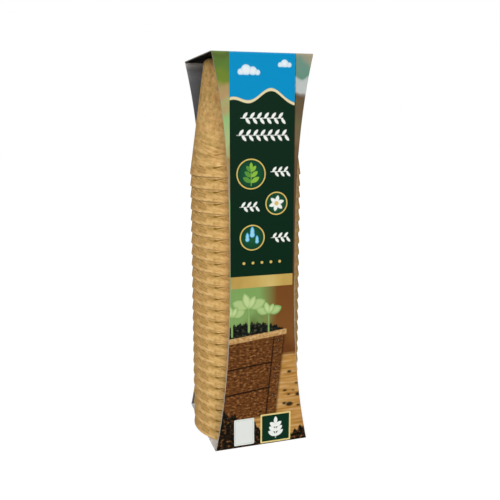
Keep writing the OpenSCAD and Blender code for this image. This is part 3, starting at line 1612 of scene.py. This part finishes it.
    def picture_inks(self) -> tuple[Ink, ...]:
        """List the inks of the picture below the gold rule, from the lowest to the highest.

        Returns:
            The inks, each with its colours at distances in mm from its outline.
        """
        wood = Grain(9 * MM, 0.8 * MM, ((0.3, "#9A6A2E"), (0.5, "#BE8C48"), (0.7, "#D4AC76")))
        boards = Grain(
            0.9 * MM,
            0.5 * MM,
            ((0.28, "#2E180A"), (0.42, "#5A3518"), (0.56, "#70431F"), (0.74, "#A87A48")),
        )
        pale = Grain(0.9 * MM, 0.6 * MM, ((0.3, "#A87A40"), (0.5, "#C79B62"), (0.7, "#DDBB8A")))
        soil = Grain(
            0.8 * MM, 0.6 * MM, ((0.34, "#060907"), (0.54, "#1A1D16"), (0.7, "#54523F"))
        )
        foot = Grain(
            0.9 * MM, 0.7 * MM, ((0.4, "#0A0B08"), (0.56, "#2A1E12"), (0.7, "#8A5A30"))
        )
        return (
            Ink("bench", ((-0.2, "#C99A4C", 1), (0.2, "#3A1F0E", 0.9), (2.4, "#3A1F0E", 0)), wood),
            Ink("knots", ((-0.4, "#17160F", 0.95), (0.3, "#17160F", 0))),
            Ink("soil", ((-0.3, "#14150F", 1), (0.3, "#14150F", 0)), soil),
            Ink("seed_leaves", ((-1.2, "#B3CB86", 1), (-0.1, "#7FA65C", 1), (0.2, "#4C6B34", 0))),
            Ink("young_leaves", ((-1.2, "#C3D896", 1), (-0.1, "#98B86C", 1), (0.2, "#4C6B34", 0))),
            Ink("planter", ((-0.1, "#5A3518", 1), (0.15, "#2A160A", 0.7), (1.4, "#2A160A", 0))),
            Ink("planter", ((-0.25, "#5A3518", 1), (0.0, "#5A3518", 0)), boards),
            Ink("gaps", ((-0.1, "#120A05", 0.9), (0.45, "#2A160A", 0))),
            Ink("nails", ((-0.2, "#8E877C", 1), (0.0, "#1A120C", 0.9), (0.5, "#1A120C", 0))),
            Ink("rail", ((-0.25, "#C79B62", 1), (0.15, "#C79B62", 0)), pale),
            Ink("spill", ((-0.4, "#14150F", 1), (0.4, "#14150F", 0)), foot),
        )

    def banner_inks(self) -> tuple[Ink, ...]:
        """List the inks that make up the banner, and what lies above them.

        Returns:
            The inks, from the lowest to the highest.
        """
        gold = Grain(14 * MM, 30 * MM, ((0.3, "#A8823C"), (0.5, "#C9A95B"), (0.7, "#DCC57E")))
        white, leaf, gilt, green = "#F2F4EE", "#5C963C", "#DDBF69", "#062616"
        # Half the width of the gold ring round each framed picture
        line = 0.26
        disc = ((-6.0, "#1E5A38", 1), (-line - 0.1, "#10402A", 1), (-line + 0.02, gilt, 0))
        ring = ((-line - 0.1, gilt, 0), (-line, gilt, 1), (line, gilt, 1), (line + 0.1, gilt, 0))
        return (
            Ink("banner", ((-0.06, green, 1), (0.06, green, 0))),
            Ink("banner_edge", ((0.1, "#0B1A10", 0.75), (0.5, "#0B1A10", 0))),
            Ink("sky", ((-0.08, "#0092CA", 1), (0.08, "#0092CA", 0))),
            Ink("hill_line", ((-0.2, "#EBDDB0", 1), (0.1, "#D8BE87", 0))),
            Ink("clouds", ((-1.1, "#F4FAFC", 0.95), (-0.1, "#D6EDF8", 0.9), (0.25, "#8CCDEB", 0))),
            Ink("frames", disc),
            Ink("frames", ring),
            Ink("sprig_left", ((-0.12, leaf, 1), (0.1, leaf, 0))),
            Ink("sprig_right", ((-0.12, "#8DBE42", 1), (0.1, "#8DBE42", 0))),
            Ink("petals", ((-0.4, white, 1), (-0.05, "#DDE8DC", 1), (0.12, white, 0))),
            Ink("eye", ((-0.1, gilt, 1), (0.1, gilt, 0))),
            Ink("water", ((-0.6, "#9FD8F0", 1), (-0.1, "#4FB4E0", 1), (0.1, "#4FB4E0", 0))),
            Ink("twigs", ((-0.1, white, 1), (0.1, white, 0))),
            Ink("dots", ((-0.1, gilt, 1), (0.1, gilt, 0))),
            Ink("back_sprigs", ((-0.1, "#1C4730", 1), (0.12, "#1C4730", 0))),
            Ink("rule", ((-0.1, "#C9A95B", 1), (0.05, "#C9A95B", 0)), gold),
        )

    def plain_inks(self) -> tuple[Ink, ...]:
        """List the inks of the label and the badge, and how the board's folds and edges show.

        Returns:
            The inks, from the lowest to the highest.
        """
        paper, frame_green = "#E9EBE6", "#A9C7A4"
        return (
            Ink("label", ((-0.05, paper, 1), (0.08, paper, 0))),
            Ink("label", ((-0.9, frame_green, 0), (-0.75, frame_green, 1), (-0.6, frame_green, 0))),
            Ink("badge", ((-0.05, "#E8D28A", 1), (0.08, "#E8D28A", 0))),
            Ink("badge", ((-0.95, "#0C3020", 1), (-0.8, "#0C3020", 0))),
            Ink("badge_sprig", ((-0.1, "#F2F4EE", 1), (0.1, "#F2F4EE", 0))),
            Ink("crease", ((0.0, "#8F968A", 0.3), (0.3, "#8F968A", 0))),
            Ink("margin", ((0.12, "#B9B6AE", 0.9), (0.3, "#B9B6AE", 0))),
        )

    def inks(self) -> tuple[Ink, ...]:
        """Give all inks from the lowest to the highest."""
        return self.picture_inks() + self.banner_inks() + self.plain_inks()


# The card wrap

Place = tuple[float, float]


class Panel(Enum):
    """The parts of the wrap's strip, in order from its glued end."""

    FLAP = 0
    BOTTOM = 1
    FRONT = 2
    TOP = 3
    BACK = 4


class Side(Enum):
    """What a face of the strip shows: its printed face, its bare face or its cut edge."""

    PRINT = 0
    LINER = 1
    EDGE = 2


@dataclass(frozen=True)
class CardWrap:
    """A die-cut strip of board, folded at four creases round the stack and glued behind. Its
    sizes are in mm."""

    thickness: float = 0.45
    width: float = 51.7
    waist: float = 34.9
    waist_share: float = 0.517
    flare: float = 2.7
    crease_radius: float = 1.0
    flap: float = 14.0
    depth: float = 61.95
    height: float = 204.7308
    glue: float = 0.02
    # Gap that shows where the back panel's end stops above the floor
    end_gap: float = 0.25
    # How much thinner the pale cut edge shows higher up, and where along the sheet that changes
    edge_thinner: float = 0.16
    edge_change: tuple[float, float] = (84.0, 98.0)
    # Painted light on the back panel's bare face: how much paler it turns towards the top, with a
    # painted highlight at the fold, and between which heights
    painted_light_steps: tuple[tuple[float, float, float], ...] = (
        (0.08, 172.0, 192.0),
        (0.14, 186.0, 198.0),
        (0.52, 200.33, 203.93),
    )
    # Points across each face, and rows along each panel and round each fold
    outer_columns: int = 106
    inner_columns: int = 6
    flap_rows: int = 8
    bottom_rows: int = 24
    front_rows: int = 480
    top_rows: int = 36
    back_rows: int = 250
    fold_rows: int = 9

    def half_width(self, z: np.ndarray) -> np.ndarray:
        """Give half the panels' width: the waist, plus a power of the distance from it.

        Args:
            z: heights, in mm.

        Returns:
            Half widths in mm.
        """
        waist_z = self.waist_share * self.height
        reach = np.where(z > waist_z, self.height - waist_z, waist_z)
        share = np.clip(np.abs(z - waist_z) / reach, 0, 1) ** self.flare
        return (self.waist + (self.width - self.waist) * share) / 2

    def run(self, panel: Panel, start: Place, end: Place, normal: Place, count: int) -> np.ndarray:
        """Give the rows of a straight run.

        Args:
            panel: the panel that the run belongs to.
            start: outer y and z of its first row.
            end: outer y and z of its last row.
            normal: y and z of its way out.
            count: number of rows.

        Returns:
            Rows of outer y and z, normal y and z, and the number of the panel.
        """
        share = np.linspace(0, 1, count)[:, None]
        points = np.array(start) + share * (np.array(end) - np.array(start))
        return np.hstack([points, np.tile([*normal, panel.value], (count, 1))])

    def fold(self, panels: tuple[Panel, Panel], centre: Place, start: float) -> np.ndarray:
        """Give the rows of a crease: a quarter arc, run clockwise.

        Args:
            panels: the panels that the two halves of the arc belong to.
            centre: y and z of its centre.
            start: angle of its start, in degrees.

        Returns:
            Rows of outer y and z, normal y and z, and the number of the panel.
        """
        angle = np.radians(np.linspace(start, start - 90, self.fold_rows + 2)[1:-1])
        normal = np.stack([np.cos(angle), np.sin(angle)], axis=-1)
        first = np.arange(self.fold_rows) < self.fold_rows // 2
        number = np.where(first, panels[0].value, panels[1].value)[:, None]
        return np.hstack([np.array(centre) + self.crease_radius * normal, normal, number])

    def fold_line(self) -> tuple[np.ndarray, np.ndarray]:
        """Carry the strip's section along its folds.

        Straight runs and quarter arcs follow each other. The inner face is one thickness
        inside the outer one, along the same normals.

        Returns:
            Rows of outer y and z and normal y and z, and the number of the panel at each.
        """
        r, half, top = self.crease_radius, self.depth / 2, self.height
        far = half - self.thickness - self.glue
        flap_top, foot = self.thickness + self.flap, self.end_gap
        table = np.vstack(
            [
                self.run(Panel.FLAP, (far, flap_top), (far, r), (1, 0), self.flap_rows),
                self.fold((Panel.FLAP, Panel.BOTTOM), (far - r, r), 0),
                self.run(Panel.BOTTOM, (far - r, 0), (r - half, 0), (0, -1), self.bottom_rows),
                self.fold((Panel.FRONT, Panel.FRONT), (r - half, r), -90),
                self.run(Panel.FRONT, (-half, r), (-half, top - r), (-1, 0), self.front_rows),
                self.fold((Panel.FRONT, Panel.TOP), (r - half, top - r), 180),
                self.run(Panel.TOP, (r - half, top), (half - r, top), (0, 1), self.top_rows),
                self.fold((Panel.TOP, Panel.BACK), (half - r, top - r), 90),
                self.run(Panel.BACK, (half, top - r), (half, foot), (1, 0), self.back_rows),
            ]
        )
        return table[:, :4], table[:, 4].astype(int)

    def surface(self, design: PrintDesign) -> tuple[GridSurface, np.ndarray]:
        """Work out the strip and what is printed on it.

        Args:
            design: gives each ink's field on the flat sheet.

        Returns:
            The surface, and the side that each row and column shows.
        """
        line, panel = self.fold_line()
        outer_y, outer_z, normal_y, normal_z = line.T
        inner_y = outer_y - self.thickness * normal_y
        inner_z = outer_z - self.thickness * normal_z
        share_out = np.linspace(-1, 1, self.outer_columns)
        share_in = np.linspace(1, -1, self.inner_columns)
        outer_x = self.half_width(outer_z)[:, None] * share_out
        inner_x = self.half_width(inner_z)[:, None] * share_in
        x = np.hstack([outer_x, inner_x])
        ones_out, ones_in = np.ones(self.outer_columns), np.ones(self.inner_columns)
        y = np.hstack([np.outer(outer_y, ones_out), np.outer(inner_y, ones_in)])
        z = np.hstack([np.outer(outer_z, ones_out), np.outer(inner_z, ones_in)])
        along = np.concatenate([[0], np.cumsum(np.hypot(np.diff(outer_y), np.diff(outer_z)))])
        # Along the sheet, counted so that it equals the height on the front panel
        flat_front = (panel == Panel.FRONT.value) & (outer_z >= self.crease_radius - 0.001)
        first = int(np.argmax(flat_front))
        s = along - along[first] + outer_z[first]
        s_grid = np.broadcast_to(s[:, None], x.shape)
        foot_of_back = float(s[-1]) + self.end_gap
        attributes = design.fields(x, s_grid, foot_of_back, self.height)
        attributes["margin"] = self.margin_field(x, z, s_grid, s[-1])
        attributes["crease"] = np.broadcast_to(self.crease_field(panel, s)[:, None], x.shape)
        attributes["sheet"] = np.stack([x, s_grid, np.zeros_like(x)], axis=-1) * MM
        attributes["leaning"] = (s_grid + 0.3 * (np.abs(x) - 20)) * MM
        # The bare faces' tone carries painted shade and light
        attributes["tone"] = np.broadcast_to(self.tone(panel, outer_z)[:, None], x.shape)
        points = np.stack([x, y, z], axis=-1) * MM
        return GridSurface(points, closed_rows=False, attributes=attributes), self.sides(panel)

    def margin_field(
        self, x: np.ndarray, z: np.ndarray, s: np.ndarray, end: float
    ) -> np.ndarray:
        """Distance from the cut edges, where the knife left a pale hair of bare board. It is
        plain to see beside the picture and thinner above it.

        Args:
            x: places across, in mm.
            z: heights, in mm.
            s: places along the sheet, in mm.
            end: where the sheet ends, behind.

        Returns:
            Distances in mm.
        """
        away = np.minimum(self.half_width(z) - np.abs(x), end - s)
        return away + self.edge_thinner * smooth(s, *self.edge_change)

    def crease_field(self, panel: np.ndarray, s: np.ndarray) -> np.ndarray:
        """Give the distance along the sheet from the nearest crease.

        Args:
            panel: number of the panel at each row.
            s: place of each row along the sheet, in mm.

        Returns:
            Distances in mm, one for each row.
        """
        change = np.flatnonzero(np.diff(panel)) + 0.5
        folds = np.interp(change, np.arange(len(s)), s)
        folds = np.append(folds, self.crease_radius * (1 - math.pi / 4))
        return np.min(np.abs(s[:, None] - folds[None, :]), axis=1)

    def tone(self, panel: np.ndarray, z: np.ndarray) -> np.ndarray:
        """Give how pale the bare face is, which is painted shade and light as the photograph shows
        it: black under the top panel and dark grey behind the pots, where shade falls, with a
        painted highlight at the fold, and pale grey at the foot.

        Args:
            panel: number of the panel at each row.
            z: height of each row, in mm.

        Returns:
            Shares from 0 to about 1, one for each row.
        """
        # Painted shade by panel: black under the top panel and dark grey on the back, where shade
        # falls, and pale on the bottom
        painted_light_by_panel = {
            Panel.FLAP.value: 0.42,
            Panel.BOTTOM.value: 0.97,
            Panel.FRONT.value: 0.42,
            Panel.TOP.value: 0.0,
            Panel.BACK.value: 0.28,
        }
        values = np.array([painted_light_by_panel[p] for p in panel])
        painted_light_steps = np.zeros_like(z)
        for most, start, end in self.painted_light_steps:
            painted_light_steps = painted_light_steps + most * smooth(z, start, end)
        return np.where(panel == Panel.BACK.value, values + painted_light_steps, values)

    def sides(self, panel: np.ndarray) -> np.ndarray:
        """Say which side of the board each face shows.

        Args:
            panel: number of the panel at each row.

        Returns:
            Numbers of the sides, as rows by columns.
        """
        columns = self.outer_columns + self.inner_columns
        table = np.full((len(panel), columns), Side.LINER.value)
        table[:, : self.outer_columns - 1] = Side.PRINT.value
        table[:, [self.outer_columns - 1, columns - 1]] = Side.EDGE.value
        return table

    def build(self, design: PrintDesign, finishes: list[bpy.types.Material]) -> bpy.types.Object:
        """Make the wrap, which rides on its own body.

        Args:
            design: the print.
            finishes: materials in the order of Side.

        Returns:
            The wrap.
        """
        surface, sides = self.surface(design)
        piece = make_piece("folded_card_wrap", surface, finishes, sides)
        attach(piece, "card_wrap")
        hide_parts("card_wrap")
        return piece


# Stage and camera


@dataclass(frozen=True)
class Viewpoint:
    """The photograph's camera, as fitted to the rims and the wrap's corners. Lengths are in
    metres, angles in degrees and the focal length in pixels of a picture 500 wide."""

    axis_y: float
    focal: float = 641.654
    distance: float = 0.349855
    height: float = 0.172189
    pitch: float = 11.3531
    roll: float = -0.0073
    yaw: float = 0.4216
    turn: float = 16.7522
    picture: float = 500.0
    sensor: float = 36.0
    nearest_seen: float = 0.01
    farthest_seen: float = 50.0

    def build(self) -> bpy.types.Object:
        """Make the scene's camera.

        Its axes are worked out in a frame that faces the stack, and that frame is then
        turned about the stack's axis into the part's own.

        Returns:
            The camera.
        """
        yaw, pitch, roll, turn = (
            math.radians(a) for a in (self.yaw, self.pitch, self.roll, self.turn)
        )
        ahead = Vector(
            (
                math.sin(yaw) * math.cos(pitch),
                math.cos(yaw) * math.cos(pitch),
                -math.sin(pitch),
            )
        )
        right = Vector((math.cos(yaw), -math.sin(yaw), 0))
        up = right.cross(ahead)
        level_right = right * math.cos(roll) + up * math.sin(roll)
        level_up = up * math.cos(roll) - right * math.sin(roll)
        axes = Matrix((level_right, level_up, -ahead)).transposed()
        frame_turn = Matrix.Rotation(-turn, 3, "Z")
        place = frame_turn @ Vector((0, -self.distance, self.height))
        data = bpy.data.cameras.new("photo_view")
        data.sensor_width = self.sensor
        data.lens = self.focal * self.sensor / self.picture
        data.clip_start, data.clip_end = self.nearest_seen, self.farthest_seen
        camera = bpy.data.objects.new("photo_view", data)
        camera.matrix_world = Matrix.Translation(
            place + Vector((0, self.axis_y, 0))
        ) @ (frame_turn @ axes).to_4x4()
        bpy.context.scene.collection.objects.link(camera)
        bpy.context.scene.camera = camera
        return camera


@dataclass(frozen=True)
class Studio:
    """A white sweep, a soft lamp right of the camera, broad ones at its left and behind the
    stack, and a low fill from all round. Angles are in degrees, to the left of the camera."""

    key: float = 1.76
    key_azimuth: float = -18.0
    key_height: float = 20.0
    key_size: float = 26.0
    side: float = 2.14
    side_azimuth: float = 38.0
    side_height: float = 28.0
    side_size: float = 70.0
    back: float = 1.15
    back_azimuth: float = 184.0
    back_height: float = 24.0
    back_size: float = 60.0
    fill: float = 0.03
    # The sheet's own glow, which with its lit share comes to plain white for the camera
    glow_share: float = 0.7
    glow: float = 1.26
    tooth_size: float = 1.25 * MM
    floor_half: float = 3.0
    floor_level: float = -0.2 * MM
    view_turn: float = 16.652

    def world(self) -> None:
        """Light the scene from all round, and show white behind it."""
        world = bpy.data.worlds.new("studio_air")
        bpy.context.scene.world = world
        world.use_nodes = True
        tree = world.node_tree
        tree.nodes.clear()
        path = add_node(tree, "LightPath")
        seen = add_node(
            tree,
            "Math",
            {0: path.outputs["Is Camera Ray"], 1: path.outputs["Is Glossy Ray"]},
            operation="MAXIMUM",
        ).outputs[0]
        seen = add_node(
            tree,
            "Math",
            {0: seen, 1: path.outputs["Is Transmission Ray"]},
            operation="MAXIMUM",
        ).outputs[0]
        strength = add_node(
            tree, "MapRange", {0: seen, 1: 0.0, 2: 1.0, 3: self.fill, 4: 1.0}
        ).outputs[0]
        light = add_node(
            tree, "Background", {"Color": linear("#FFFFFF"), "Strength": strength}
        )
        output = add_node(tree, "OutputWorld")
        tree.links.new(light.outputs[0], output.inputs[0])

    def lamp(self, name: str, strength: float, azimuth: float, height: float, size: float) -> None:
        """Add a sun lamp.

        Args:
            name: the lamp's name.
            strength: its strength.
            azimuth: degrees to the left of the photograph's camera, seen from the stack.
            height: degrees above level.
            size: the angle that the lamp covers, in degrees, which softens its shadows.
        """
        data = bpy.data.lights.new(name, "SUN")
        data.energy, data.angle = strength, math.radians(size)
        lamp = bpy.data.objects.new(name, data)
        turn = math.radians(-90 - self.view_turn - azimuth)
        rise = math.radians(height)
        towards = Vector(
            (math.cos(turn) * math.cos(rise), math.sin(turn) * math.cos(rise), math.sin(rise))
        )
        lamp.rotation_euler = towards.to_track_quat("Z", "Y").to_euler()
        bpy.context.scene.collection.objects.link(lamp)

    def floor(self) -> bpy.types.Object:
        """Lay a white sheet under the stack.

        The camera sees it white of itself, with the stack's soft shadow on it, and it throws
        back less light than white would.

        Returns:
            The floor.
        """
        material, tree, output = new_material("white_paper_sweep")
        place = add_node(tree, "TexCoord").outputs["Object"]
        tooth = add_node(
            tree, "TexNoise", {"Vector": place, "Scale": 0.5 / self.tooth_size}
        ).outputs[0]
        paper = add_node(
            tree,
            "ValToRGB",
            {0: tooth},
            stops=[(0.3, linear("#F4F4F4")), (0.7, linear("#FAFAFA"))],
        ).outputs[0]
        path = add_node(tree, "LightPath").outputs["Is Camera Ray"]
        matt = add_node(tree, "BsdfDiffuse", {"Color": paper}).outputs[0]
        grey = add_node(tree, "BsdfDiffuse", {"Color": linear("#6E6E6E")}).outputs[0]
        glow = add_node(tree, "Emission", {"Strength": self.glow}).outputs[0]
        seen = add_node(tree, "MixShader", {0: self.glow_share, 1: matt, 2: glow}).outputs[0]
        both = add_node(tree, "MixShader", {0: path, 1: grey, 2: seen}).outputs[0]
        tree.links.new(both, output.inputs[0])
        half, level = self.floor_half, self.floor_level
        mesh = bpy.data.meshes.new("paper_floor")
        corners = [(-half, -half), (half, -half), (half, half), (-half, half)]
        mesh.from_pydata([(x, y, level) for x, y in corners], [], [(0, 1, 2, 3)])
        mesh.materials.append(material)
        floor = bpy.data.objects.new("paper_floor", mesh)
        bpy.context.scene.collection.objects.link(floor)
        return floor

    def build(self) -> None:
        """Set up the floor, the lamps and the world."""
        self.floor()
        self.lamp("key_softbox", self.key, self.key_azimuth, self.key_height, self.key_size)
        self.lamp("side_softbox", self.side, self.side_azimuth, self.side_height, self.side_size)
        self.lamp("back_softbox", self.back, self.back_azimuth, self.back_height, self.back_size)
        self.world()
        bpy.context.scene.view_settings.view_transform = "Standard"


# Making it all


def main() -> None:
    """Build the pots, the wrap and the stage, in that order."""
    logging.basicConfig(level=logging.INFO, format="%(name)s: %(message)s")
    mould = PotMould()
    fibre = MouldedFibre(mould.pitch).build()
    places = sorted(int(name[4:]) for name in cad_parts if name.startswith("pot_"))
    for place in places:
        pot = FibrePot(mould, place, is_top=place == places[-1]).build(fibre)
        log.info("%s: %d faces", pot.name, len(pot.data.polygons))
    design = PrintDesign()
    board = PrintedBoard(design.inks()).build()
    # Both bare finishes read the tone, which paints shade under the top panel and on the back, and
    # light at the fold
    liner = BareBoard("uncoated_board_face", "#050505", "#787A7F", "#F0F0EE").build()
    edge = BareBoard("cut_board_edge", "#8F8A80", "#A9A397", "#D0CABC").build()
    wrap = CardWrap().build(design, [board, liner, edge])
    log.info("%s: %d faces", wrap.name, len(wrap.data.polygons))
    Studio().build()
    Viewpoint(mould.axis_y).build()


if __name__ == "__main__":
    main()
